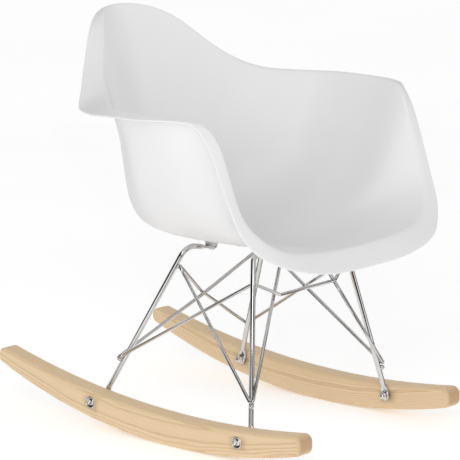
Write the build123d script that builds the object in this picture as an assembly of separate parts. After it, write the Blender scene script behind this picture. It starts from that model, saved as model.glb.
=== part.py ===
from build123d import *
import math
import os

import numpy as np

# Rocking chair: moulded bucket armchair on four bent rods, braced by thin wires, on two bowed wooden rockers.
# Millimetres, Z up, floor at Z = 0 and the sitter faces -Y.  The sitter's left is +X.
# Every sided piece is drawn on +X and mirrored in the YZ plane.

# ---- shell ----
WALL = 5.0                      # wall of the moulded shell
LIP_WALL = 3.2                  # the wall thins to this at the rolled lip
THIN_FROM = 0.85                # where the thinning starts, as a share of the way out from the seat centre
PAN_CENTRE = (0.0, -45.0, 317.0)  # lowest point of the seat pan, inside face
PAN_HALF = (55.0, 60.0, 55.0)   # flat part of the pan: half width, front reach, rear reach
BOWL_HALF = (118.0, 130.0, 112.0)
KNEE_HALF = (178.0, 190.0, 160.0)
BOWL_RISE = 6.0
KNEE_RISE = 17.0
BOWL_SIDE_LIFT = 16.0           # the bowl stands this much higher at the sides
KNEE_SIDE_LIFT = 38.0
# rim stations from the front centre round the left side to the back centre:
# crest point of the inside face, edge of the rolled-over lip, and how far the roll reaches back down the wall
RIM = [
    ((0, -289, 339), (0, -313, 309), 30),
    ((92, -286, 341), (92, -311, 311), 30),
    ((163, -281, 350), (170, -303, 325), 28),
    ((203, -268, 367), (218, -281, 344), 24),
    ((226, -252, 391), (246, -259, 371), 18),
    ((237, -234, 422), (257, -238, 411), 15),
    ((241, -216, 471), (262, -214, 470), 13),
    ((243, -197, 522), (265, -191, 524), 12),
    ((251, -176, 555), (271, -167, 555), 12),
    ((262, -147, 565), (280, -146, 563), 11),
    ((276, -105, 567), (295, -103, 563), 12),
    ((279, -60, 568), (302, -60, 561), 13),
    ((275, -20, 569), (301, -10, 560), 14),
    ((259, 20, 570), (288, 38, 556), 15),
    ((232, 52, 573), (264, 78, 553), 16),
    ((200, 86, 578), (236, 119, 553), 16),
    ((172, 120, 591), (202, 147, 571), 16),
    ((146, 149, 612), (169, 173, 595), 14),
    ((118, 174, 640), (136, 197, 626), 13),
    ((88, 200, 668), (102, 220, 659), 12),
    ((50, 231, 687), (56, 248, 679), 11),
    ((0, 249, 692), (0, 265, 686), 11),
]
# how full the wall is between knee and crest: station, (low reach, low rise, high reach, high rise)
FULLNESS = [
    (0, (0.50, 0.30, 0.80, 0.70)),
    (4, (0.48, 0.30, 0.78, 0.66)),
    (9, (0.46, 0.27, 0.70, 0.62)),
    (13, (0.45, 0.25, 0.62, 0.62)),
    (16, (0.38, 0.19, 0.50, 0.62)),
    (21, (0.25, 0.13, 0.47, 0.40)),
]
# closed section curves of the shell, as shares of the way from the seat centre to the lip
SECTIONS = [0.05, 0.10, 0.16, 0.22, 0.28, 0.34, 0.40, 0.46, 0.52,
            0.58, 0.64, 0.70, 0.76, 0.81, 0.86, 0.91, 0.96, 1.0]
LIP_ROUND = [35, 90, 145]       # degrees round the lip's edge where it has a section curve

# ---- rods and wires ----
ROD_R = 4.5                     # leg rod
WIRE_R = 2.9                    # bracing wire
FRONT_FOOT = (179.55, -205.4, 34.4)   # where the front leg's line meets the height of its bolt
FRONT_BEND = (115.3, -155.9, 322.0)   # and where it turns in under the seat
FRONT_BEND_R = 10.0
FRONT_FLAT_Z = 313.0
REAR_FOOT = (180.1, 122.5, 45.6)
REAR_BEND = (106.96, 3.43, 307.0)
REAR_BEND_R = 20.0
REAR_HUMP = (84.0, 4.2, 310.0)  # the rear run rises this high before it drops to its flat
REAR_FLAT_Z = 304.0
FLAT_T = 4.0                    # hammered flats at both ends of a leg
FLAT_W = 16.5
TAB_DROP = 9.0                  # tab end below the bolt
TAB_RISE = 9.5                  # tab reach above the bolt
SHOULDER = 11.5                 # length over which a rod turns into a flat
FRONT_SEAT_BOLT_X = 64.0
REAR_SEAT_BOLT_X = 36.0
FLAT_PAST_BOLT = 10.0
FLAT_BEFORE_BOLT = 19.0
FRONT_FLAT_INNER_X = 36.0       # the front flats run on inwards to take the brace wires

WIRE_BEND_R = 4.0
GRIP = ROD_R + WIRE_R + 0.02    # wire axis from rod axis where they touch
GRIP_TAIL = 16.0                # the rear wires are welded end to end with the others this far past a leg
FRONT_UPPER_Z = 276.0           # heights at which the wires meet the legs
REAR_UPPER_Z = 282.0
REAR_LOWER_Z = 114.5
FRONT_LOWER_Z = 85.5
REAR_LOWER_SLACK = 6.0          # a wire's corner stands this far past a tight fit round the leg
FRONT_LOWER_SLACK = 3.0
BUTT_BITE = 0.3                 # the upper corners are pressed this deep into the weld seam on a leg
FRONT_DIP = (72.0, -177.0, 251.0)     # lower corner of the front wire
BRACE_TOP = (38.1, -153.7, 316.0)     # the front braces aim here
REAR_CROSSING = (0.0, 56.0, 208.0)    # the two rear wires cross here
CROSSING_GAP = 2.95             # each rear wire's offset from the crossing point

# ---- rockers ----
ROCKER_X = 198.0                # centre plane
ROCKER_W = 37.0
ROCKER_END_Y = 338.0
SOLE_R = 1050.0                 # bottom arc
SOLE_Y = -71.0                  # where the sole touches the floor
TOP_R = 1658.0                  # top arc
TOP_Y = -101.0
TOP_LOW_Z = 50.8                # lowest point of the top arc
END_ROUND = 13.0
EDGE_ROUND = 7.0
FRONT_BOLT = (-205.5, 34.4)     # Y, Z of the bolt axes
REAR_BOLT = (119.5, 45.6)
BOLT_HOLE_R = 4.1
COUNTERBORE_R = 10.5
COUNTERBORE_DEEP = 5.0

# ---- fasteners ----
SHANK_R = 4.0
CUP_R = 10.4
CUP_FLOOR = 1.5
CUP_RIM_T = 1.3
CUP_PROUD = 0.3
HEAD_R = 7.0
HEAD_H = 4.4
HEAD_EDGE = 1.0                 # straight edge of a domed head
SOCKET_FLAT = 5.0
SOCKET_DEEP = 2.6
WASHER_R = 9.0
WASHER_T = 1.5
NUT_FLAT = 13.0
NUT_H = 4.5
NUT_DOME_R = 5.8
SHANK_IN_NUT = 6.0
SEAT_SHANK_R = 3.0
SEAT_HEAD_R = 7.5
SEAT_HEAD_H = 4.5
SEAT_WASHER_R = 9.0
SEAT_WASHER_T = 1.5
SEAT_HOLE_R = 3.3
INSERT_R = 4.5
INSERT_H = 3.0
PAD_R = 11.0
PAD_TOP_R = 14.0
PAD_H = 30.0
GLUE = 0.02                     # film between a pad and the shell
BEAD_R = 4.3
BEAD_DROP = 2.6                 # the welds lie mostly below the wire
LEAST_BEAD = 2.0                # smaller crumbs of weld, in cubic millimetres, are dropped


# ---------------------------------------------------------------- shell

def oval(angle, half, power):
    """Point of a squared oval in the direction angle, 0 to the front, with half width, front and rear reach."""
    across, along = math.sin(angle), -math.cos(angle)
    reach = half[2] if along > 0 else half[1]
    size = (abs(across / half[0]) ** power + abs(along / reach) ** power) ** (-1 / power)
    return np.array([size * across, size * along, 0.0])


def rib(index):
    """Control points of the inside face from the seat centre out to the lip at one rim station."""
    crest, lip, roll = RIM[index]
    crest, lip = np.array(crest, float), np.array(lip, float)
    centre = np.array(PAN_CENTRE)
    angle = math.atan2(crest[0], centre[1] - crest[1])
    side, rear = math.sin(angle) ** 2, max(0.0, -math.cos(angle))
    pan = centre + oval(angle, PAN_HALF, 2.0)
    bowl = centre + oval(angle, BOWL_HALF, 2.1)
    bowl[2] += BOWL_RISE + BOWL_SIDE_LIFT * side * (1 - 0.6 * rear) - 1.5 * rear
    knee = centre + oval(angle, KNEE_HALF, 2.3)
    knee[2] += KNEE_RISE + KNEE_SIDE_LIFT * side * (1 - 0.5 * rear) + 1.5 * rear
    low_reach, low_rise, high_reach, high_rise = [
        np.interp(index, [s for s, _ in FULLNESS], [f[k] for _, f in FULLNESS]) for k in range(4)
    ]
    low = knee + np.array([low_reach, low_reach, low_rise]) * (crest - knee)
    high = knee + np.array([high_reach, high_reach, high_rise]) * (crest - knee)
    down = high - crest
    length = np.linalg.norm(down)
    below = crest + down / length * min(roll, length / 2)
    over = (crest + lip) / 2
    return np.array([centre, pan, bowl, knee, low, high, below, crest, over, lip])


def weights(count, share):
    """Cubic B-spline weights of count control points, share 0 at the first and 1 at the last."""
    knots = [0.0] * 3 + list(np.linspace(0, 1, count - 2)) + [1.0] * 3
    share = min(max(share, 0.0), 1 - 1e-12)
    now = [1.0 if knots[i] <= share < knots[i + 1] else 0.0 for i in range(len(knots) - 1)]
    for degree in (1, 2, 3):
        step = []
        for i in range(len(now) - 1):
            rising = knots[i + degree] - knots[i]
            falling = knots[i + degree + 1] - knots[i + 1]
            value = 0.0
            if rising > 0:
                value += (share - knots[i]) / rising * now[i]
            if falling > 0:
                value += (knots[i + degree + 1] - share) / falling * now[i + 1]
            step.append(value)
        now = step
    return np.array(now)


def shell_ribs():
    """Control points of every station round the whole rim, left side then right side."""
    left = [rib(i) for i in range(len(RIM))]
    right = [points * np.array([-1, 1, 1]) for points in left[-2:0:-1]]
    return np.array(left + right)


def wall_ring(ribs, share):
    """Inside and outside points of the shell wall at one share of the way out."""
    inside = np.einsum("j,sjk->sk", weights(ribs.shape[1], share), ribs)
    step = 1e-3
    before = np.einsum("j,sjk->sk", weights(ribs.shape[1], share - step), ribs)
    after = np.einsum("j,sjk->sk", weights(ribs.shape[1], min(share + step, 1.0)), ribs)
    round_the_rim = np.roll(inside, -1, 0) - np.roll(inside, 1, 0)
    normal = np.cross(after - before, round_the_rim)
    normal /= np.linalg.norm(normal, axis=1)[:, None]
    wall = np.interp(share, [0, THIN_FROM, 1], [WALL, WALL, LIP_WALL])
    return inside, inside - normal * wall


def closed_curve(points):
    """Closed smooth wire through one ring of points, all rings sharing one spacing."""
    spacing = [i / len(points) for i in range(len(points) + 1)]
    return Wire([Edge.make_spline([tuple(p) for p in points], periodic=True, parameters=spacing)])


def make_shell():
    """One skin that runs out under the seat, round the lip and back in over the seat, closed at the middle."""
    ribs = shell_ribs()
    inner, outer = zip(*[wall_ring(ribs, share) for share in SECTIONS])
    inner, outer = list(inner), list(outer)
    inner[0][:, 2] = inner[0][:, 2].mean()
    outer[0][:, 2] = inner[0][:, 2] - WALL
    middle, half = (inner[-1] + outer[-1]) / 2, (inner[-1] - outer[-1]) / 2
    onward = inner[-1] - inner[-2]
    onward /= np.linalg.norm(onward, axis=1)[:, None]
    reach = np.linalg.norm(half, axis=1)[:, None]
    lip = []
    for degrees in LIP_ROUND:
        turn = math.radians(degrees)
        lip.append(middle - half * math.cos(turn) + onward * reach * math.sin(turn))
    rings = outer + lip + inner[::-1]
    return Solid.make_loft([closed_curve(ring) for ring in rings], False)


# ---------------------------------------------------------------- rods and wires

def vec(point):
    return Vector(*point)


def on_leg(foot, bend, z):
    """Point of the leg's straight line at height z."""
    share = (z - foot[2]) / (bend[2] - foot[2])
    return vec(foot) + (vec(bend) - vec(foot)) * share


def bent_rod(points, radius, bend):
    """Round rod along a line of points, each inner corner turned with the radius bend."""
    points = [vec(p) for p in points]
    edges, start = [], points[0]
    for before, corner, after in zip(points, points[1:], points[2:]):
        back, on = (before - corner).normalized(), (after - corner).normalized()
        half = math.acos(max(-1.0, min(1.0, back.dot(on)))) / 2
        cut = bend / math.tan(half)
        toward = (back + on).normalized()
        middle = corner + toward * (bend / math.sin(half) - bend)
        edges.append(Edge.make_line(start, corner + back * cut))
        edges.append(Edge.make_three_point_arc(corner + back * cut, middle, corner + on * cut))
        start = corner + on * cut
    edges.append(Edge.make_line(start, points[-1]))
    path = Wire(edges)
    ring = Plane(origin=points[0], z_dir=(points[1] - points[0]).normalized()) * Circle(radius)
    return Solid.sweep(ring.wire(), path=path)


def cylinder_x(radius, x_from, x_to, y, z):
    """Cylinder along X between two x values."""
    return Solid.make_cylinder(radius, x_to - x_from, Plane(origin=(x_from, y, z), z_dir=(1, 0, 0)))


def cylinder_z(radius, x, y, z_from, z_to):
    return Solid.make_cylinder(radius, z_to - z_from, Plane(origin=(x, y, z_from), z_dir=(0, 0, 1)))


def blend(flat_plane, round_plane):
    """Shoulder between a flat's end and the round rod."""
    flat = flat_plane * RectangleRounded(FLAT_W, FLAT_T, FLAT_T * 0.45)
    rod = round_plane * Circle(ROD_R)
    return Solid.make_loft([flat.wire(), rod.wire()], False)


def leg(foot, bend, bend_r, hump, bolt, seat_bolt_x, flat_z, inner_x):
    """Leg rod with a flat tab on the rocker's side and a flat run under the seat, both drilled.

    hump lists the points, if any, that the inward run passes between its bend and its flat.
    """
    tab_x = ROCKER_X - ROCKER_W / 2 - FLAT_T / 2
    bolt_y, bolt_z = bolt
    rod_start = on_leg(foot, bend, bolt_z + TAB_RISE + SHOULDER)
    up = (Vector(tab_x, rod_start.Y, rod_start.Z) - Vector(tab_x, bolt_y, bolt_z)).normalized()
    tab_low = Vector(tab_x, bolt_y, bolt_z) - up * (TAB_DROP - FLAT_W / 2)
    tab_high = Vector(tab_x, bolt_y, bolt_z) + up * TAB_RISE
    tab_plane = Plane(origin=(tab_low + tab_high) / 2, x_dir=up, z_dir=(1, 0, 0))
    length = (tab_high - tab_low).length
    tab = extrude(tab_plane * Rectangle(length, FLAT_W), FLAT_T / 2, both=True)
    tab += cylinder_x(FLAT_W / 2, tab_x - FLAT_T / 2, tab_x + FLAT_T / 2, tab_low.Y, tab_low.Z)
    low_flat = Plane(origin=tab_high, x_dir=up.cross(Vector(1, 0, 0)), z_dir=up)
    rod_dir = (vec(bend) - vec(foot)).normalized()
    low_round = Plane(origin=rod_start, x_dir=up.cross(Vector(1, 0, 0)), z_dir=rod_dir)
    flat_from = Vector(seat_bolt_x + FLAT_BEFORE_BOLT, bend[1], flat_z)
    last = vec((hump or [bend])[-1])
    run_start = flat_from + (last - flat_from).normalized() * SHOULDER
    rod = bent_rod([rod_start, bend] + hump + [run_start], ROD_R, bend_r)
    top_round = Plane(origin=run_start, x_dir=(0, 1, 0), z_dir=(run_start - last).normalized())
    top_flat = Plane(origin=flat_from, x_dir=(0, 1, 0), z_dir=(-1, 0, 0))
    run_end = Vector(inner_x + FLAT_W / 2, bend[1], flat_z)
    run_length = flat_from.X - run_end.X
    run = Pos(run_end.X + run_length / 2, bend[1], flat_z) * Box(run_length, FLAT_W, FLAT_T)
    run += cylinder_z(FLAT_W / 2, run_end.X, bend[1], flat_z - FLAT_T / 2, flat_z + FLAT_T / 2)
    body = rod + blend(low_flat, low_round) + tab + blend(top_flat, top_round) + run
    body -= cylinder_x(BOLT_HOLE_R, tab_x - FLAT_W, tab_x + FLAT_W, bolt_y, bolt_z)
    body -= cylinder_z(SEAT_HOLE_R, seat_bolt_x, bend[1], flat_z - FLAT_W, flat_z + FLAT_W)
    return body


def front_leg():
    return leg(FRONT_FOOT, FRONT_BEND, FRONT_BEND_R, [], FRONT_BOLT, FRONT_SEAT_BOLT_X,
               FRONT_FLAT_Z, FRONT_FLAT_INNER_X)


def rear_leg():
    return leg(REAR_FOOT, REAR_BEND, REAR_BEND_R, [REAR_HUMP], REAR_BOLT, REAR_SEAT_BOLT_X,
               REAR_FLAT_Z, REAR_SEAT_BOLT_X - FLAT_PAST_BOLT)


def mirrored(point):
    return Vector(-point.X, point.Y, point.Z)


def nose(middle, beside, across):
    """Direction in which a wire's corner points, away from both its runs, and half the angle between them."""
    first, second = (beside - middle).normalized(), (across - middle).normalized()
    return (first + second).normalized() * -1, math.acos(first.dot(second)) / 2


def round_grip(foot, bend, z, slack, beside, across):
    """Corner of a wire bent round the outside of a leg: it comes from beside the leg and goes across the chair.

    The wire's two straight runs would both touch the rod; slack then draws the corner further out.
    """
    axis = (vec(bend) - vec(foot)).normalized()
    middle = on_leg(foot, bend, z)
    outward = axis.cross(beside - middle).normalized()
    outward = outward if outward.X > 0 else outward * -1
    facing = axis.cross(across - middle).normalized()
    facing = facing if facing.dot(beside - middle) < 0 else facing * -1
    rows = [tuple(outward), tuple(facing), tuple(axis)]
    tight = middle + Vector(*np.linalg.solve(np.array(rows), np.array([GRIP, GRIP, 0.0])))
    return tight + nose(tight, beside, across)[0] * slack


def butt_grip(foot, bend, z, slack, beside, across):
    """Corner of a wire whose bend only touches the inner side of a leg."""
    axis = (vec(bend) - vec(foot)).normalized()
    middle = on_leg(foot, bend, z)
    point, half = nose(middle, beside, across)
    square = (point - axis * point.dot(axis)).normalized()
    return middle - square * (GRIP + slack) + point * (WIRE_BEND_R / math.sin(half) - WIRE_BEND_R)


LEG_CORNERS = {
    "front_lower": (round_grip, FRONT_FOOT, FRONT_BEND, FRONT_LOWER_Z, FRONT_LOWER_SLACK),
    "front_upper": (butt_grip, FRONT_FOOT, FRONT_BEND, FRONT_UPPER_Z, -BUTT_BITE),
    "rear_lower": (round_grip, REAR_FOOT, REAR_BEND, REAR_LOWER_Z, REAR_LOWER_SLACK),
    "rear_upper": (butt_grip, REAR_FOOT, REAR_BEND, REAR_UPPER_Z, -BUTT_BITE),
}


def corners():
    """The four corners on the left side, each turned until its runs aim at the others."""
    at = {name: on_leg(*row[1:4]) for name, row in LEG_CORNERS.items()}
    for _ in range(6):
        aims = {
            "front_lower": (at["rear_upper"], vec(BRACE_TOP)),
            "front_upper": (at["rear_lower"], vec(FRONT_DIP)),
            "rear_lower": (at["front_upper"], vec(REAR_CROSSING)),
            "rear_upper": (at["front_lower"], vec(REAR_CROSSING)),
        }
        at = {name: row[0](*row[1:], *aims[name]) for name, row in LEG_CORNERS.items()}
    return at


def side_wire():
    """From under the front seat flat down to the front leg, round it and up to the rear leg."""
    at = corners()
    flat_under = FRONT_FLAT_Z - FLAT_T / 2
    joint = at["rear_upper"] + (at["front_lower"] - at["rear_upper"]).normalized() * GRIP_TAIL
    rod = bent_rod([BRACE_TOP, at["front_lower"], joint], WIRE_R, WIRE_BEND_R)
    above = Pos(BRACE_TOP[0], BRACE_TOP[1], flat_under + FLAT_W) * Box(4 * FLAT_W, 4 * FLAT_W, 2 * FLAT_W)
    return rod - above


def rear_wire(offset):
    """From the left side wire round the rear leg, across behind to the right leg and round its foot."""
    at = corners()
    run = vec(REAR_CROSSING) - at["rear_upper"]
    apart = run.cross(mirrored(run)).normalized()
    crossing = vec(REAR_CROSSING) + apart * offset
    start = at["rear_upper"] + (at["front_lower"] - at["rear_upper"]).normalized() * GRIP_TAIL
    low, front = mirrored(at["rear_lower"]), mirrored(at["front_upper"])
    end = low + (front - low).normalized() * GRIP_TAIL
    return bent_rod([start, at["rear_upper"], crossing, low, end], WIRE_R, WIRE_BEND_R)


def front_wire():
    """From one rear foot forward to the front leg, round it, dipping across the front, and back again."""
    at = corners()
    start = at["rear_lower"] + (at["front_upper"] - at["rear_lower"]).normalized() * GRIP_TAIL
    left = [start, at["front_upper"], vec(FRONT_DIP)]
    return bent_rod(left + [mirrored(p) for p in left[::-1]], WIRE_R, WIRE_BEND_R)


# ---------------------------------------------------------------- rockers

def arc_z(y, radius, centre_y, low_z):
    return low_z + radius - math.sqrt(radius ** 2 - (y - centre_y) ** 2)


def rocker():
    """Bowed wooden runner with drilled and counterbored bolt holes."""
    back, front = ROCKER_END_Y, -ROCKER_END_Y

    def sole(y):
        return Vector(y, arc_z(y, SOLE_R, SOLE_Y, 0.0))

    def top(y):
        return Vector(y, arc_z(y, TOP_R, TOP_Y, TOP_LOW_Z))

    outline = Wire([
        Edge.make_three_point_arc(sole(front), sole(SOLE_Y), sole(back)),
        Edge.make_line(sole(back), top(back)),
        Edge.make_three_point_arc(top(back), top(TOP_Y), top(front)),
        Edge.make_line(top(front), sole(front)),
    ])
    face = Face(outline)
    face = face.fillet_2d(END_ROUND, face.vertices())
    plane = Plane(origin=(ROCKER_X - ROCKER_W / 2, 0, 0), x_dir=(0, 1, 0), z_dir=(1, 0, 0))
    body = extrude(plane * face, ROCKER_W)
    sides = body.faces().filter_by(Axis.X)
    body = fillet(sides.edges(), EDGE_ROUND)
    outer = ROCKER_X + ROCKER_W / 2
    for y, z in (FRONT_BOLT, REAR_BOLT):
        body -= cylinder_x(BOLT_HOLE_R, outer - 2 * ROCKER_W, outer + ROCKER_W, y, z)
        body -= cylinder_x(COUNTERBORE_R, outer - COUNTERBORE_DEEP, outer + ROCKER_W, y, z)
    return body


# ---------------------------------------------------------------- fasteners

def spin(outline, origin, direction):
    """Solid of revolution about direction through origin; the outline is drawn in X (radius) and Z."""
    return Plane(origin=origin, z_dir=direction) * Solid.revolve(Face(outline), 360, Axis.Z)


def turned(profile, origin, direction):
    """Solid of revolution from (radius, distance along direction) points."""
    points = [(r, 0, h) for r, h in profile]
    edges = [Edge.make_line(a, b) for a, b in zip(points, points[1:] + points[:1])]
    return spin(Wire(edges), origin, direction)


def rounded_plug(radius, straight, origin, direction):
    """Plug with straight sides from origin along direction and half a ball on its end."""
    low = math.sqrt(0.5) * radius
    outline = Wire([
        Edge.make_line((0, 0, 0), (radius, 0, 0)),
        Edge.make_line((radius, 0, 0), (radius, 0, straight)),
        Edge.make_three_point_arc((radius, 0, straight), (low, 0, straight + low), (0, 0, straight + radius)),
        Edge.make_line((0, 0, straight + radius), (0, 0, 0)),
    ])
    return spin(outline, origin, direction)


def headed_pin(head, shank, origin, direction):
    """Bolt with a domed head standing along direction from origin and a plain shank the other way.

    head is (radius, height, straight edge) and shank is (radius, length).
    """
    radius, height, edge = head
    shank_r, length = shank
    dome_r = (radius ** 2 + (height - edge) ** 2) / (2 * (height - edge))
    lean = math.asin(radius / dome_r) / 2
    shoulder = (dome_r * math.sin(lean), 0, height - dome_r * (1 - math.cos(lean)))
    outline = Wire([
        Edge.make_line((0, 0, -length), (shank_r, 0, -length)),
        Edge.make_line((shank_r, 0, -length), (shank_r, 0, 0)),
        Edge.make_line((shank_r, 0, 0), (radius, 0, 0)),
        Edge.make_line((radius, 0, 0), (radius, 0, edge)),
        Edge.make_three_point_arc((radius, 0, edge), shoulder, (0, 0, height)),
        Edge.make_line((0, 0, height), (0, 0, -length)),
    ])
    return spin(outline, origin, direction)


def hexagon(across_flats, height, origin, direction):
    face = RegularPolygon(across_flats / 2, 6, major_radius=False)
    return extrude(Plane(origin=origin, z_dir=direction) * face, height)


def bolt_places():
    return [FRONT_BOLT, REAR_BOLT]


def rocker_bolt(y, z):
    outer = ROCKER_X + ROCKER_W / 2
    head_seat = outer - COUNTERBORE_DEEP + CUP_FLOOR
    inner = ROCKER_X - ROCKER_W / 2 - FLAT_T - WASHER_T - SHANK_IN_NUT
    bolt = headed_pin((HEAD_R, HEAD_H, HEAD_EDGE), (SHANK_R, head_seat - inner), (head_seat, y, z), (1, 0, 0))
    return bolt - hexagon(SOCKET_FLAT, HEAD_H, (head_seat + HEAD_H - SOCKET_DEEP, y, z), (1, 0, 0))


def bolt_cup(y, z):
    base = ROCKER_X + ROCKER_W / 2 - COUNTERBORE_DEEP
    top = COUNTERBORE_DEEP + CUP_PROUD
    profile = [(BOLT_HOLE_R, 0), (CUP_R, 0), (CUP_R, top), (CUP_R - CUP_RIM_T, top),
               (CUP_R - CUP_RIM_T - 0.6, CUP_FLOOR), (BOLT_HOLE_R, CUP_FLOOR)]
    return turned(profile, (base, y, z), (1, 0, 0))


def inner_washer(y, z):
    face = ROCKER_X - ROCKER_W / 2 - FLAT_T
    return cylinder_x(WASHER_R, face - WASHER_T, face, y, z) - cylinder_x(BOLT_HOLE_R, face - 9, face + 9, y, z)


def dome_nut(y, z):
    face = ROCKER_X - ROCKER_W / 2 - FLAT_T - WASHER_T
    nut = hexagon(NUT_FLAT, NUT_H, (face, y, z), (-1, 0, 0))
    inner = face - SHANK_IN_NUT - 0.5
    cap = rounded_plug(NUT_DOME_R, NUT_H, (face, y, z), (-1, 0, 0))
    return nut + cap - cylinder_x(BOLT_HOLE_R, inner, face + 1, y, z)


def seat_places():
    return [(FRONT_SEAT_BOLT_X, FRONT_BEND[1], FRONT_FLAT_Z), (REAR_SEAT_BOLT_X, REAR_BEND[1], REAR_FLAT_Z)]


def seat_washer(x, y, flat_z):
    under = flat_z - FLAT_T / 2
    return cylinder_z(SEAT_WASHER_R, x, y, under - SEAT_WASHER_T, under) - cylinder_z(SEAT_HOLE_R, x, y, 0, flat_z)


def seat_bolt(x, y, flat_z):
    under = flat_z - FLAT_T / 2 - SEAT_WASHER_T
    length = flat_z + FLAT_T / 2 + INSERT_H - under
    return headed_pin((SEAT_HEAD_R, SEAT_HEAD_H, HEAD_EDGE), (SEAT_SHANK_R, length), (x, y, under), (0, 0, -1))


def threaded_insert(x, y, flat_z):
    base = flat_z + FLAT_T / 2
    bore = cylinder_z(SEAT_HOLE_R, x, y, base - 1, base + INSERT_H + 1)
    return cylinder_z(INSERT_R, x, y, base, base + INSERT_H) - bore


def mount_pad(x, y, flat_z, shell):
    """Boss between a leg's flat and the curved underside of the shell, with a pocket for its insert."""
    base = flat_z + FLAT_T / 2
    pad = Solid.make_cone(PAD_R, PAD_TOP_R, PAD_H, Plane(origin=(x, y, base + GLUE), z_dir=(0, 0, 1)))
    pad = pad - shell
    pad = Pos(0, 0, -GLUE) * min(pad.solids(), key=lambda s: s.center().Z)
    return pad - cylinder_z(INSERT_R, x, y, base - 1, base + INSERT_H)


def cut_beads(beads, pieces):
    """What is left of the beads beside the pieces."""
    kept = []
    for bead in beads:
        for piece in pieces:
            bead = bead - piece
        kept += [s for s in bead.solids() if s.volume > LEAST_BEAD]
    return kept


def weld_balls(names):
    """Balls of weld metal, still uncut, in the corners where the left wires meet the left legs."""
    at = corners()
    balls = []
    for name in names:
        _, foot, bend, z, slack = LEG_CORNERS[name]
        axis = (vec(bend) - vec(foot)).normalized()
        middle = on_leg(foot, bend, z)
        toward = at[name] - middle
        toward = (toward - axis * toward.dot(axis)).normalized()
        place = middle + toward * (ROD_R + slack / 2) - axis * BEAD_DROP
        balls.append(Pos(*place) * Sphere(BEAD_R))
    return balls


# ---------------------------------------------------------------- writing

def both_sides(pieces):
    return list(pieces) + [mirror(piece, Plane.YZ) for piece in pieces]


def save(name, pieces):
    solids = []
    for piece in pieces:
        solids += piece.solids()
    shape = solids[0] if len(solids) == 1 else Compound(children=solids)
    export_step(shape, f"parts/{name}.step")


def main():
    os.makedirs("parts", exist_ok=True)
    shell = make_shell()
    save("seat_shell", [shell])
    front, rear = front_leg(), rear_leg()
    save("leg_front_left", [front])
    save("leg_front_right", [mirror(front, Plane.YZ)])
    save("leg_rear_left", [rear])
    save("leg_rear_right", [mirror(rear, Plane.YZ)])
    others = [mirror(front, Plane.YZ), mirror(rear, Plane.YZ)]
    side = side_wire() - front - rear
    save("side_wire_left", [side])
    save("side_wire_right", [mirror(side, Plane.YZ)])
    rear_from_left = rear_wire(CROSSING_GAP) - rear - others[1]
    rear_from_right = mirror(rear_wire(-CROSSING_GAP), Plane.YZ) - rear - others[1]
    save("rear_wire_left", [rear_from_left])
    save("rear_wire_right", [rear_from_right])
    across = front_wire() - front - rear - others[0] - others[1]
    save("front_wire", [across])
    runner = rocker()
    save("rocker_left", [runner])
    save("rocker_right", [mirror(runner, Plane.YZ)])
    save("rocker_bolts", both_sides([rocker_bolt(y, z) for y, z in bolt_places()]))
    save("bolt_cups", both_sides([bolt_cup(y, z) for y, z in bolt_places()]))
    save("inner_washers", both_sides([inner_washer(y, z) for y, z in bolt_places()]))
    save("dome_nuts", both_sides([dome_nut(y, z) for y, z in bolt_places()]))
    save("seat_bolts", both_sides([seat_bolt(*place) for place in seat_places()]))
    save("seat_washers", both_sides([seat_washer(*place) for place in seat_places()]))
    save("threaded_inserts", both_sides([threaded_insert(*place) for place in seat_places()]))
    save("mount_pads", both_sides([mount_pad(*place, shell) for place in seat_places()]))
    wires = [rear_from_left, rear_from_right, across]
    front_beads = cut_beads(weld_balls(["front_lower", "front_upper"]), [front, side] + wires)
    rear_balls = weld_balls(["rear_lower", "rear_upper"])
    left_beads = cut_beads(rear_balls, [rear, side] + wires)
    right_balls = [mirror(ball, Plane.YZ) for ball in rear_balls]
    right_beads = cut_beads(right_balls, [others[1], mirror(side, Plane.YZ)] + wires)
    save("weld_beads", both_sides(front_beads) + left_beads + right_beads)


main()
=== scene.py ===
import math

import bpy
import numpy as np
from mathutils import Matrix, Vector


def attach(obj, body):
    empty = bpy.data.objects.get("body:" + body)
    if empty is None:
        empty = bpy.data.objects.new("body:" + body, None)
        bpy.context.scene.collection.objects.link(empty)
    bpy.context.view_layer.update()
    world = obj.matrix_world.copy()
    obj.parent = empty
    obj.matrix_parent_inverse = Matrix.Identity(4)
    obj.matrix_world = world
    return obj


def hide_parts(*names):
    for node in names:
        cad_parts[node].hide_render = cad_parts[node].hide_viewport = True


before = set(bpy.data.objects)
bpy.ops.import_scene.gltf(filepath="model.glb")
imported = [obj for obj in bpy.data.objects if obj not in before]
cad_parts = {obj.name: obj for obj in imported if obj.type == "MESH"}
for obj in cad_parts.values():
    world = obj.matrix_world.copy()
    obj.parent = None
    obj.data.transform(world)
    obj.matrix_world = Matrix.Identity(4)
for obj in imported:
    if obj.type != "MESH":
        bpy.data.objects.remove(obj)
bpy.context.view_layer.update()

# Looks of the rocking armchair: the skin of its shell, the materials, the studio, the light and the camera.
# Metres, except for the shell's outline, which is in millimetres as it is in the part.
# Z is up, the sitter faces -Y and the sitter's left is +X.

MM = 0.001
MIX_INPUTS = (0, 6, 7)          # the factor and the two colours of a Mix node
MIX_OUTPUT = 2                  # and its colour

# ---------------------------------------------------------------- node helpers


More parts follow.
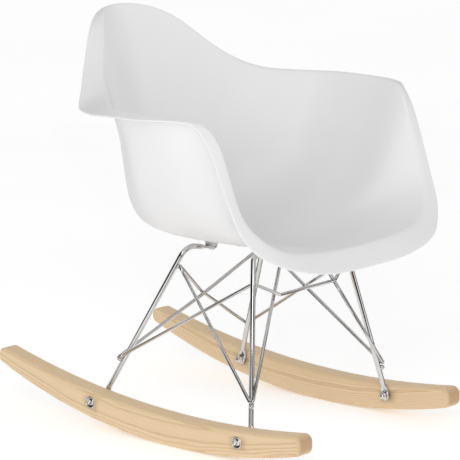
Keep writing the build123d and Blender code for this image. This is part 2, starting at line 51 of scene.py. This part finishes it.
class Nodes:
    """Short way to build a material's node tree."""

    def __init__(self, name):
        self.material = bpy.data.materials.new(name)
        self.material.use_nodes = True
        self.tree = self.material.node_tree
        self.shader = next(n for n in self.tree.nodes if n.type == "BSDF_PRINCIPLED")

    def add(self, kind, **settings):
        node = self.tree.nodes.new(kind)
        for key, value in settings.items():
            setattr(node, key, value)
        return node

    def link(self, output, socket):
        self.tree.links.new(output, socket)

    def feed(self, socket, value):
        """Puts a number, a colour or the output of another node into a socket."""
        if isinstance(value, (int, float)):
            socket.default_value = value
        elif isinstance(value, tuple):
            socket.default_value = (*value, 1.0)
        else:
            self.link(value, socket)

    def set(self, name, value):
        self.shader.inputs[name].default_value = value

    def math(self, operation, *values):
        node = self.add("ShaderNodeMath", operation=operation)
        for socket, value in zip(node.inputs, values):
            self.feed(socket, value)
        return node.outputs[0]

    def plus(self, first, second):
        return self.math("ADD", first, second)

    def minus(self, first, second):
        return self.math("SUBTRACT", first, second)

    def times(self, first, second):
        return self.math("MULTIPLY", first, second)

    def length(self, first, second):
        """Distance from the origin of a point with these two coordinates."""
        squares = self.plus(self.times(first, first), self.times(second, second))
        return self.math("SQRT", squares)

    def position(self):
        """The point on the surface in the row frame, in metres."""
        return self.add("ShaderNodeTexCoord").outputs["Object"]

    def split(self, vector):
        node = self.add("ShaderNodeSeparateXYZ")
        self.link(vector, node.inputs[0])
        return node.outputs

    def join(self, *values):
        node = self.add("ShaderNodeCombineXYZ")
        for socket, value in zip(node.inputs, values):
            self.feed(socket, value)
        return node.outputs[0]

    def noise(self, vector, scale, detail, roughness):
        node = self.add("ShaderNodeTexNoise")
        self.link(vector, node.inputs["Vector"])
        node.inputs["Scale"].default_value = scale
        node.inputs["Detail"].default_value = detail
        node.inputs["Roughness"].default_value = roughness
        return node.outputs["Fac"]

    def ramp(self, factor, stops, mode="LINEAR"):
        """Colour ramp, where a stop is its position and its colour."""
        node = self.add("ShaderNodeValToRGB")
        node.color_ramp.interpolation = mode
        elements = node.color_ramp.elements
        while len(elements) < len(stops):
            elements.new(0.5)
        for element, (place, colour) in zip(elements, stops):
            element.position = place
            element.color = (*colour, 1.0)
        self.link(factor, node.inputs[0])
        return node.outputs["Color"]

    def span(self, factor, low, high, from_low=0.0, from_high=1.0):
        """Maps the factor from one range to another."""
        node = self.add("ShaderNodeMapRange")
        self.link(factor, node.inputs["Value"])
        limits = {"From Min": from_low, "From Max": from_high, "To Min": low, "To Max": high}
        for key, value in limits.items():
            node.inputs[key].default_value = value
        return node.outputs["Result"]

    def mix(self, factor, first, second):
        node = self.add("ShaderNodeMix", data_type="RGBA")
        for place, value in zip(MIX_INPUTS, (factor, first, second)):
            self.feed(node.inputs[place], value)
        return node.outputs[MIX_OUTPUT]

    def bump(self, height, strength, distance, before=None):
        node = self.add("ShaderNodeBump")
        node.inputs["Strength"].default_value = strength
        node.inputs["Distance"].default_value = distance
        self.link(height, node.inputs["Height"])
        if before is not None:
            self.link(before, node.inputs["Normal"])
        return node.outputs["Normal"]

    def finish(self, colour, roughness=None, normal=None):
        self.link(colour, self.shader.inputs["Base Color"])
        if roughness is not None:
            self.link(roughness, self.shader.inputs["Roughness"])
        if normal is not None:
            self.link(normal, self.shader.inputs["Normal"])
        return self.material


# ---------------------------------------------------------------- materials

SHELL_DIM = (0.800, 0.800, 0.806)
SHELL_BRIGHT = (0.825, 0.825, 0.830)
BOSS_DIM = (0.50, 0.50, 0.50)
BOSS_BRIGHT = (0.62, 0.62, 0.62)
ROD_TINT = (0.68, 0.675, 0.67)
WIRE_TINT = (0.62, 0.615, 0.61)
BEAD_TINT = (0.74, 0.74, 0.76)
CHROME_HAZE = 0.93              # the haze dims the tint to this share
STEEL_DIM = (0.60, 0.57, 0.54)
STEEL_BRIGHT = (0.80, 0.78, 0.76)
BRASS_DIM = (0.52, 0.36, 0.13)
BRASS_BRIGHT = (0.72, 0.52, 0.22)
FLOOR_DIM = (0.90, 0.90, 0.90)
FLOOR_BRIGHT = (0.92, 0.92, 0.92)
FLOOR_GLOW = 0.30               # the floor shines this much by itself, to read as white


def shell_plastic():
    """White moulded plastic: even colour, a trace of handling haze and a fine satin skin."""
    m = Nodes("shell_plastic")
    at = m.position()
    cloud = m.noise(at, scale=5.0, detail=4.0, roughness=0.55)
    colour = m.ramp(cloud, [(0.30, SHELL_DIM), (0.70, SHELL_BRIGHT)])
    haze = m.noise(at, scale=26.0, detail=5.0, roughness=0.6)
    roughness = m.span(haze, low=0.40, high=0.52, from_low=0.25, from_high=0.75)
    speck = m.noise(at, scale=900.0, detail=2.0, roughness=0.6)
    skin = m.bump(speck, strength=0.10, distance=0.00025)
    wave = m.noise(at, scale=7.0, detail=1.0, roughness=0.4)
    normal = m.bump(wave, strength=0.05, distance=0.004, before=skin)
    m.set("IOR", 1.49)
    m.set("Specular IOR Level", 0.45)
    return m.finish(colour, roughness, normal)


def boss_plastic():
    """Greyer plastic of the bosses, with a dull moulded skin."""
    m = Nodes("boss_plastic")
    at = m.position()
    cloud = m.noise(at, scale=30.0, detail=3.0, roughness=0.5)
    colour = m.ramp(cloud, [(0.3, BOSS_DIM), (0.7, BOSS_BRIGHT)])
    roughness = m.span(cloud, low=0.50, high=0.62)
    speck = m.noise(at, scale=1400.0, detail=2.0, roughness=0.6)
    return m.finish(colour, roughness, m.bump(speck, strength=0.2, distance=0.0003))


def chrome(name, tint, rough_low, rough_high):
    """Bright plate with a faint haze and a little orange peel."""
    m = Nodes(name)
    at = m.position()
    haze = m.noise(at, scale=60.0, detail=4.0, roughness=0.6)
    hazy_tint = tuple(CHROME_HAZE * c for c in tint)
    colour = m.ramp(haze, [(0.25, hazy_tint), (0.75, tint)])
    roughness = m.span(haze, rough_low, rough_high, from_low=0.3, from_high=0.7)
    peel = m.noise(at, scale=420.0, detail=2.0, roughness=0.5)
    m.set("Metallic", 1.0)
    return m.finish(colour, roughness, m.bump(peel, strength=0.06, distance=0.0002))


def steel():
    """Plated steel of the fixings, slightly warm and uneven."""
    m = Nodes("bolt_steel")
    at = m.position()
    cloud = m.noise(at, scale=240.0, detail=4.0, roughness=0.6)
    colour = m.ramp(cloud, [(0.3, STEEL_DIM), (0.7, STEEL_BRIGHT)])
    roughness = m.span(cloud, low=0.08, high=0.20, from_low=0.3, from_high=0.7)
    grit = m.noise(at, scale=1500.0, detail=2.0, roughness=0.7)
    m.set("Metallic", 1.0)
    return m.finish(colour, roughness, m.bump(grit, strength=0.10, distance=0.0001))


def brass():
    m = Nodes("insert_brass")
    cloud = m.noise(m.position(), scale=200.0, detail=3.0, roughness=0.6)
    colour = m.ramp(cloud, [(0.3, BRASS_DIM), (0.7, BRASS_BRIGHT)])
    roughness = m.span(cloud, low=0.28, high=0.42)
    m.set("Metallic", 1.0)
    return m.finish(colour, roughness, m.bump(cloud, strength=0.1, distance=0.0002))


def paper():
    """The pale studio floor."""
    m = Nodes("studio_floor")
    cloud = m.noise(m.position(), scale=1.5, detail=2.0, roughness=0.5)
    m.set("Roughness", 0.9)
    m.set("Specular IOR Level", 0.1)
    m.set("Emission Color", (1.0, 1.0, 1.0, 1.0))
    m.set("Emission Strength", FLOOR_GLOW)
    return m.finish(m.ramp(cloud, [(0.3, FLOOR_DIM), (0.7, FLOOR_BRIGHT)]))


# ---------------------------------------------------------------- wood

GRAIN_R = 1.05                  # radius of the bow that the grain follows
GRAIN_CENTRE = (-0.071, 1.05)   # Y and Z of its centre
ROCKER_X = 0.198                # centre plane of a rocker
PITH_IN = 0.030                 # the rings' middle lies this far towards the chair's middle
PITH_UP = 0.030                 # and this far above the sole
RING_SWAY = 0.034               # how far the rings wander
RINGS_PER_METRE = 500.0
RING_PROFILE = [(0.0, 0.30), (0.10, 0.05), (0.55, 0.18), (0.86, 0.72), (1.0, 0.40)]  # place, darkness
RING_SHARE = 0.66               # how strongly the rings, the pores and the end grain darken the wood
PORE_SHARE = 0.5
END_SHARE = 0.55
END_POWER = 3.0                 # a higher power keeps the end grain to the very ends
WOOD_DIM = (0.775, 0.585, 0.368)
WOOD_BRIGHT = (0.835, 0.665, 0.448)
FIBRE_DARK = (0.66, 0.455, 0.250)
RING_DARK = (0.50, 0.305, 0.145)
PORE_DARK = (0.40, 0.24, 0.11)
END_DARK = (0.36, 0.190, 0.095)


def rocker_place(m, side):
    """Angle round the bow, and the place in a rocker: run along it, across it and up from the sole."""
    x, y, z = m.split(m.position())
    along = m.minus(y, GRAIN_CENTRE[0])
    drop = m.minus(GRAIN_CENTRE[1], z)
    angle = m.math("ARCTAN2", along, drop)
    run = m.times(angle, GRAIN_R)
    across = m.minus(x, ROCKER_X * side)
    depth = m.minus(GRAIN_R, m.length(along, drop))
    return angle, (run, across, depth)


def grain_noise(m, place, run_scale, cross_scale, detail, roughness):
    """Noise drawn out along the grain."""
    run, across, depth = place
    at = m.join(m.times(run, run_scale), m.times(across, cross_scale), m.times(depth, cross_scale))
    return m.noise(at, 1.0, detail, roughness)


def growth_rings(m, place, side):
    """Darkness of the growth rings, which wander as they run along the bow."""
    _, across, depth = place
    flow = grain_noise(m, place, run_scale=3.2, cross_scale=9.0, detail=3.0, roughness=0.55)
    sway = m.times(m.minus(flow, 0.5), RING_SWAY)
    pith_across = m.plus(across, side * PITH_IN)
    pith_up = m.minus(m.plus(depth, sway), PITH_UP)
    ring = m.math("FRACT", m.times(m.length(pith_across, pith_up), RINGS_PER_METRE))
    return m.ramp(ring, [(at, (dark, dark, dark)) for at, dark in RING_PROFILE], "EASE")


def end_grain(m, angle):
    """0 on the sides of a rocker, rising where its surface faces along the grain."""
    _, ny, nz = m.split(m.add("ShaderNodeNewGeometry").outputs["Normal"])
    facing = m.plus(m.times(ny, m.math("COSINE", angle)), m.times(nz, m.math("SINE", angle)))
    sharp = m.math("POWER", m.math("ABSOLUTE", facing), END_POWER)
    return m.span(sharp, low=0.0, high=END_SHARE)


def wood(name, side):
    """Pale hardwood: growth rings bent along the bow, fine fibres and pores, and darker end grain."""
    m = Nodes(name)
    angle, place = rocker_place(m, side)
    rings = growth_rings(m, place, side)
    fibre = grain_noise(m, place, run_scale=22.0, cross_scale=900.0, detail=3.0, roughness=0.65)
    specks = grain_noise(m, place, run_scale=60.0, cross_scale=1700.0, detail=1.0, roughness=0.4)
    pore = m.ramp(specks, [(0.30, (1.0, 1.0, 1.0)), (0.40, (0.0, 0.0, 0.0))])
    plank = grain_noise(m, place, run_scale=2.0, cross_scale=16.0, detail=2.0, roughness=0.5)
    colour = m.ramp(plank, [(0.25, WOOD_DIM), (0.75, WOOD_BRIGHT)])
    streak = m.span(fibre, low=0.05, high=0.45, from_low=0.3, from_high=0.75)
    colour = m.mix(streak, colour, FIBRE_DARK)
    colour = m.mix(m.times(rings, RING_SHARE), colour, RING_DARK)
    colour = m.mix(m.times(m.times(pore, rings), PORE_SHARE), colour, PORE_DARK)
    colour = m.mix(end_grain(m, angle), colour, END_DARK)
    roughness = m.span(fibre, low=0.42, high=0.60, from_low=0.3, from_high=0.7)
    height = m.minus(m.times(fibre, 0.5), m.times(pore, 0.8))
    m.set("Specular IOR Level", 0.4)
    return m.finish(colour, roughness, m.bump(height, strength=0.22, distance=0.0003))


# ---------------------------------------------------------------- shell mesh

WALL = 5.0                      # wall of the moulded shell, in millimetres like all lengths up to LIP_ROWS
LIP_WALL = 3.2                  # the wall thins to this at the rolled lip
THIN_FROM = 0.85                # where the thinning starts, as a share of the way out from the seat centre
PAN_CENTRE = (0.0, -45.0, 317.0)    # lowest point of the seat pan, inside face
PAN_HALF = (55.0, 60.0, 55.0)   # flat part of the pan: half width, front reach, rear reach
BOWL_HALF = (118.0, 130.0, 112.0)
KNEE_HALF = (178.0, 190.0, 160.0)
PAN_POWER = 2.0                 # 2 is an ellipse, and more is squarer
BOWL_POWER = 2.1
KNEE_POWER = 2.3
BOWL_RISE = 6.0
KNEE_RISE = 17.0
BOWL_SIDE_LIFT = 16.0           # the bowl stands this much higher at the sides
KNEE_SIDE_LIFT = 38.0
BOWL_REAR_EASE = 0.6            # share of the side lift that is lost towards the rear
KNEE_REAR_EASE = 0.5
REAR_TILT = 1.5                 # at the rear the bowl drops and the knee rises by this
# rim stations from the front centre round the left side to the back centre:
# crest point of the inside face, edge of the rolled-over lip, and how far the roll reaches back down the wall
RIM = [
    ((0, -289, 339), (0, -313, 309), 30),
    ((92, -286, 341), (92, -311, 311), 30),
    ((163, -281, 350), (170, -303, 325), 28),
    ((203, -268, 367), (218, -281, 344), 24),
    ((226, -252, 391), (246, -259, 371), 18),
    ((237, -234, 422), (257, -238, 411), 15),
    ((241, -216, 471), (262, -214, 470), 13),
    ((243, -197, 522), (265, -191, 524), 12),
    ((251, -176, 555), (271, -167, 555), 12),
    ((262, -147, 565), (280, -146, 563), 11),
    ((276, -105, 567), (295, -103, 563), 12),
    ((279, -60, 568), (302, -60, 561), 13),
    ((275, -20, 569), (301, -10, 560), 14),
    ((259, 20, 570), (288, 38, 556), 15),
    ((232, 52, 573), (264, 78, 553), 16),
    ((200, 86, 578), (236, 119, 553), 16),
    ((172, 120, 591), (202, 147, 571), 16),
    ((146, 149, 612), (169, 173, 595), 14),
    ((118, 174, 640), (136, 197, 626), 13),
    ((88, 200, 668), (102, 220, 659), 12),
    ((50, 231, 687), (56, 248, 679), 11),
    ((0, 249, 692), (0, 265, 686), 11),
]
# how full the wall is between knee and crest: station, (low reach, low rise, high reach, high rise)
FULLNESS = [
    (0, (0.50, 0.30, 0.80, 0.70)),
    (4, (0.48, 0.30, 0.78, 0.66)),
    (9, (0.46, 0.27, 0.70, 0.62)),
    (13, (0.45, 0.25, 0.62, 0.62)),
    (16, (0.38, 0.19, 0.50, 0.62)),
    (21, (0.25, 0.13, 0.47, 0.40)),
]
SPAN_STEPS = 6                  # mesh columns between two rim stations
WALL_ROWS = 64                  # mesh rows from the seat centre to the lip
LIP_ROWS = 7                    # mesh rows round the lip's edge
FIRST_SHARE = 0.02              # the innermost row, as a share of the way out from the seat centre
SLOPE_STEP = 1e-3               # step in that share for the wall's slope


def oval(angle, half, power):
    """Point of a squared oval in the direction angle, 0 to the front; half as in PAN_HALF."""
    across, along = math.sin(angle), -math.cos(angle)
    reach = half[2] if along > 0 else half[1]
    size = (abs(across / half[0]) ** power + abs(along / reach) ** power) ** (-1 / power)
    return np.array([size * across, size * along, 0.0])


def rib(index):
    """Control points of the inside face from the seat centre out to the lip at one rim station."""
    crest, lip, roll = RIM[index]
    crest, lip = np.array(crest, float), np.array(lip, float)
    centre = np.array(PAN_CENTRE)
    angle = math.atan2(crest[0], centre[1] - crest[1])
    side, rear = math.sin(angle) ** 2, max(0.0, -math.cos(angle))
    pan = centre + oval(angle, PAN_HALF, PAN_POWER)
    bowl = centre + oval(angle, BOWL_HALF, BOWL_POWER)
    bowl[2] += BOWL_RISE + BOWL_SIDE_LIFT * side * (1 - BOWL_REAR_EASE * rear) - REAR_TILT * rear
    knee = centre + oval(angle, KNEE_HALF, KNEE_POWER)
    knee[2] += KNEE_RISE + KNEE_SIDE_LIFT * side * (1 - KNEE_REAR_EASE * rear) + REAR_TILT * rear
    low_reach, low_rise, high_reach, high_rise = [
        np.interp(index, [s for s, _ in FULLNESS], [f[k] for _, f in FULLNESS]) for k in range(4)
    ]
    low = knee + np.array([low_reach, low_reach, low_rise]) * (crest - knee)
    high = knee + np.array([high_reach, high_reach, high_rise]) * (crest - knee)
    down = high - crest
    length = np.linalg.norm(down)
    below = crest + down / length * min(roll, length / 2)
    over = (crest + lip) / 2
    return np.array([centre, pan, bowl, knee, low, high, below, crest, over, lip])


def weights(count, share):
    """Cubic B-spline weights of count control points, share 0 at the first and 1 at the last."""
    knots = [0.0] * 3 + list(np.linspace(0, 1, count - 2)) + [1.0] * 3
    share = min(max(share, 0.0), 1 - 1e-12)
    now = [1.0 if knots[i] <= share < knots[i + 1] else 0.0 for i in range(len(knots) - 1)]
    for degree in (1, 2, 3):
        step = []
        for i in range(len(now) - 1):
            rising = knots[i + degree] - knots[i]
            falling = knots[i + degree + 1] - knots[i + 1]
            value = 0.0
            if rising > 0:
                value += (share - knots[i]) / rising * now[i]
            if falling > 0:
                value += (knots[i + degree + 1] - share) / falling * now[i + 1]
            step.append(value)
        now = step
    return np.array(now)


def closed_spline(points, steps):
    """Smooth closed curve through points with steps samples a span, and its direction there."""
    count = len(points)
    matrix = np.zeros((count, count))
    for i in range(count):
        matrix[i, i] = 4
        matrix[i, (i + 1) % count] = 1
        matrix[i, (i - 1) % count] = 1
    following = np.roll(points, -1, 0)
    bend = np.linalg.solve(matrix, 6 * (following - 2 * points + np.roll(points, 1, 0)))
    bend_on = np.roll(bend, -1, 0)
    at, slope = [], []
    for k in range(steps):
        t = k / steps
        s = 1 - t
        at.append(s * points + t * following + (s ** 3 - s) * bend / 6 + (t ** 3 - t) * bend_on / 6)
        slope.append(following - points - (3 * s ** 2 - 1) * bend / 6 + (3 * t ** 2 - 1) * bend_on / 6)
    order = (-1, points.shape[1])
    return np.stack(at, 1).reshape(order), np.stack(slope, 1).reshape(order)


def wall_ring(ribs, share):
    """Inside and outside points of the wall at one share of the way out."""
    middle = np.einsum("j,sjk->sk", weights(ribs.shape[1], share), ribs)
    low, high = max(share - SLOPE_STEP, 0.0), min(share + SLOPE_STEP, 1.0)
    before = np.einsum("j,sjk->sk", weights(ribs.shape[1], low), ribs)
    after = np.einsum("j,sjk->sk", weights(ribs.shape[1], high), ribs)
    inside, along = closed_spline(middle, SPAN_STEPS)
    outward, _ = closed_spline(after - before, SPAN_STEPS)
    normal = np.cross(outward, along)
    normal /= np.linalg.norm(normal, axis=1)[:, None]
    wall = np.interp(share, [0, THIN_FROM, 1], [WALL, WALL, LIP_WALL])
    return inside, inside - normal * wall


def new_object(name, vertices, faces, material, smooth=True):
    mesh = bpy.data.meshes.new(name)
    mesh.from_pydata([tuple(v) for v in vertices], [], faces)
    mesh.validate()
    mesh.update()
    mesh.polygons.foreach_set("use_smooth", [smooth] * len(mesh.polygons))
    mesh.materials.append(material)
    thing = bpy.data.objects.new(name, mesh)
    bpy.context.scene.collection.objects.link(thing)
    return thing


def grid_faces(rows, columns):
    """Quads between rings of a grid that closes on itself along its columns."""
    faces = []
    for r in range(rows - 1):
        for c in range(columns):
            on = (c + 1) % columns
            faces.append((r * columns + c, r * columns + on, (r + 1) * columns + on, (r + 1) * columns + c))
    return faces


def make_shell(material):
    """Skin of the shell: out under the seat, round the lip and back in over the seat."""
    left = [rib(i) for i in range(len(RIM))]
    right = [points * np.array([-1, 1, 1]) for points in left[-2:0:-1]]
    ribs = np.array(left + right)
    shares = [FIRST_SHARE + (1 - FIRST_SHARE) * i / (WALL_ROWS - 1) for i in range(WALL_ROWS)]
    inner, outer = zip(*[wall_ring(ribs, share) for share in shares])
    inner, outer = list(inner), list(outer)
    middle, half = (inner[-1] + outer[-1]) / 2, (inner[-1] - outer[-1]) / 2
    onward = inner[-1] - inner[-2]
    onward /= np.linalg.norm(onward, axis=1)[:, None]
    reach = np.linalg.norm(half, axis=1)[:, None]
    lip = []
    for k in range(1, LIP_ROWS + 1):
        turn = math.pi * k / (LIP_ROWS + 1)
        lip.append(middle - half * math.cos(turn) + onward * reach * math.sin(turn))
    rings = outer + lip + inner[::-1]
    columns = len(rings[0])
    points = np.concatenate(rings) * MM
    faces = grid_faces(len(rings), columns)
    bottom, top = len(points), len(points) + 1
    centre_low, centre_high = outer[0].mean(0) * MM, inner[0].mean(0) * MM
    points = np.vstack([points, centre_low, centre_high])
    last = (len(rings) - 1) * columns
    for c in range(columns):
        on = (c + 1) % columns
        faces.append((bottom, on, c))
        faces.append((top, last + c, last + on))
    shell = new_object("shell_skin", points, faces, material)
    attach(shell, "root")
    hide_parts("seat_shell")


# ---------------------------------------------------------------- carried-over nodes

SHARP = math.radians(32)        # an edge that turns more than this stays sharp
SEAM_GAP = 0.000005             # vertices nearer than this are joined
RODS = ["leg_front_left", "leg_front_right", "leg_rear_left", "leg_rear_right"]
WIRES = ["side_wire_left", "side_wire_right", "rear_wire_left", "rear_wire_right", "front_wire"]
FIXINGS = ["rocker_bolts", "bolt_cups", "inner_washers", "dome_nuts", "seat_bolts", "seat_washers"]


def dress(name, material):
    """Gives a CAD node its material and smooth shading."""
    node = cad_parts[name]
    mesh = node.data
    mesh.materials.clear()
    mesh.materials.append(material)
    mesh.polygons.foreach_set("use_smooth", [True] * len(mesh.polygons))
    mesh.polygons.foreach_set("material_index", [0] * len(mesh.polygons))
    weld = node.modifiers.new("weld", "WELD")
    weld.merge_threshold = SEAM_GAP
    mesh.set_sharp_from_angle(angle=SHARP)


def dress_nodes():
    looks = [
        (RODS, chrome("chrome_rod", ROD_TINT, rough_low=0.015, rough_high=0.05)),
        (WIRES, chrome("chrome_wire", WIRE_TINT, rough_low=0.02, rough_high=0.06)),
        (["weld_beads"], chrome("weld_metal", BEAD_TINT, rough_low=0.16, rough_high=0.30)),
        (FIXINGS, steel()),
        (["threaded_inserts"], brass()),
        (["mount_pads"], boss_plastic()),
        (["rocker_left"], wood("rocker_wood_left", side=1)),
        (["rocker_right"], wood("rocker_wood_right", side=-1)),
    ]
    for names, material in looks:
        for name in names:
            dress(name, material)


# ---------------------------------------------------------------- studio

AZIMUTH = -49.3                 # of the camera, in degrees from the chair's front
ELEVATION = 11.69
DISTANCE = 5.1236
AIM = (0.02545, 0.01576, 0.31849)
LENS = 234.79                   # millimetres, like the sensor
SENSOR = 36.0
FAR_CLIP = 60.0
FLOOR_HALF = 14.0
KEY_PLACE = (-2.6, -1.7, 1.9)
KEY_AIM = (0, 0, 0.4)
KEY_SIZE = (1.8, 1.8)
KEY_WATTS = 21
SURROUND = [(0.15, 0.97), (0.95, 0.52)]     # height on the surround, and how bright it is there
SURROUND_STRENGTH = 1.08
CARD_BLACK = (0.004, 0.004, 0.004, 1.0)
CARD_R = 3.0                    # black cards stand on this circle
CARD_LOW = 0.25
CARD_HIGH = 3.0
FLOOR_CARD_INNER = 0.42         # and lie on the floor from here to there
FLOOR_CARD_OUTER = 3.0
FLOOR_CARD_Z = 0.0006
WALL_CARDS = [(-112, 90), (-14, 40), (48, 34), (100, 34), (158, 28)]    # azimuth and width, degrees
FLOOR_CARDS = [(-120, 44), (-27, 44), (30, 24), (80, 40), (128, 24), (177, 36)]


def make_floor():
    corners = [(x * FLOOR_HALF, y * FLOOR_HALF, 0) for x, y in ((-1, -1), (1, -1), (1, 1), (-1, 1))]
    floor = new_object("studio_floor", corners, [(0, 1, 2, 3)], paper(), smooth=False)


def area_light(name, place, aim, size, power):
    light = bpy.data.lights.new(name, "AREA")
    light.shape = "RECTANGLE"
    light.size, light.size_y = size
    light.energy = power
    thing = bpy.data.objects.new(name, light)
    thing.location = place
    thing.rotation_euler = (Vector(aim) - Vector(place)).to_track_quat("-Z", "Y").to_euler()
    bpy.context.scene.collection.objects.link(thing)


def make_world():
    """White surround, dimmer overhead."""
    world = bpy.data.worlds.new("studio")
    world.use_nodes = True
    tree = world.node_tree
    back = tree.nodes["Background"]
    place = tree.nodes.new("ShaderNodeTexCoord")
    split = tree.nodes.new("ShaderNodeSeparateXYZ")
    ramp = tree.nodes.new("ShaderNodeValToRGB")
    tree.links.new(place.outputs["Generated"], split.inputs[0])
    tree.links.new(split.outputs["Z"], ramp.inputs[0])
    for element, (height, shade) in zip(ramp.color_ramp.elements, SURROUND):
        element.position = height
        element.color = (shade, shade, shade, 1.0)
    tree.links.new(ramp.outputs["Color"], back.inputs["Color"])
    back.inputs["Strength"].default_value = SURROUND_STRENGTH
    bpy.context.scene.world = world


def ray(degrees, reach, z):
    """Point at height z, this far from the origin, in a direction counted from the chair's front."""
    turn = math.radians(degrees)
    return Vector((math.sin(turn) * reach, -math.cos(turn) * reach, z))


def card_corners(azimuth, spread, near, far):
    """Corners of a card between two directions; near and far are its edges' (reach, height)."""
    one, two = azimuth - spread / 2, azimuth + spread / 2
    return [ray(one, *near), ray(two, *near), ray(two, *far), ray(one, *far)]


def make_cards():
    """Black cards that only mirror-like surfaces see, for the dark streaks on the chrome."""
    m = Nodes("black_card")
    m.set("Base Color", CARD_BLACK)
    m.set("Roughness", 1.0)
    m.set("Specular IOR Level", 0.0)
    wall_edges = (CARD_R, CARD_LOW), (CARD_R, CARD_HIGH)
    floor_edges = (FLOOR_CARD_INNER, FLOOR_CARD_Z), (FLOOR_CARD_OUTER, FLOOR_CARD_Z)
    cards = [card_corners(azimuth, spread, *wall_edges) for azimuth, spread in WALL_CARDS]
    cards += [card_corners(azimuth, spread, *floor_edges) for azimuth, spread in FLOOR_CARDS]
    for i, corners in enumerate(cards):
        card = new_object(f"black_card_{i}", corners, [(0, 1, 2, 3)], m.material, smooth=False)
        card.visible_camera = False
        card.visible_diffuse = False
        card.visible_shadow = False
        card.visible_transmission = False


def make_camera():
    camera = bpy.data.cameras.new("camera")
    camera.lens = LENS
    camera.sensor_width = SENSOR
    camera.clip_end = FAR_CLIP
    thing = bpy.data.objects.new("camera", camera)
    a, e = math.radians(AZIMUTH), math.radians(ELEVATION)
    back = Vector((math.sin(a) * math.cos(e), -math.cos(a) * math.cos(e), math.sin(e)))
    thing.location = Vector(AIM) + back * DISTANCE
    thing.rotation_euler = back.to_track_quat("Z", "Y").to_euler()
    bpy.context.scene.collection.objects.link(thing)
    bpy.context.scene.camera = thing


make_shell(shell_plastic())
dress_nodes()
make_floor()
make_world()
make_cards()
area_light("key", KEY_PLACE, KEY_AIM, KEY_SIZE, KEY_WATTS)
make_camera()
bpy.context.scene.view_settings.view_transform = "Standard"
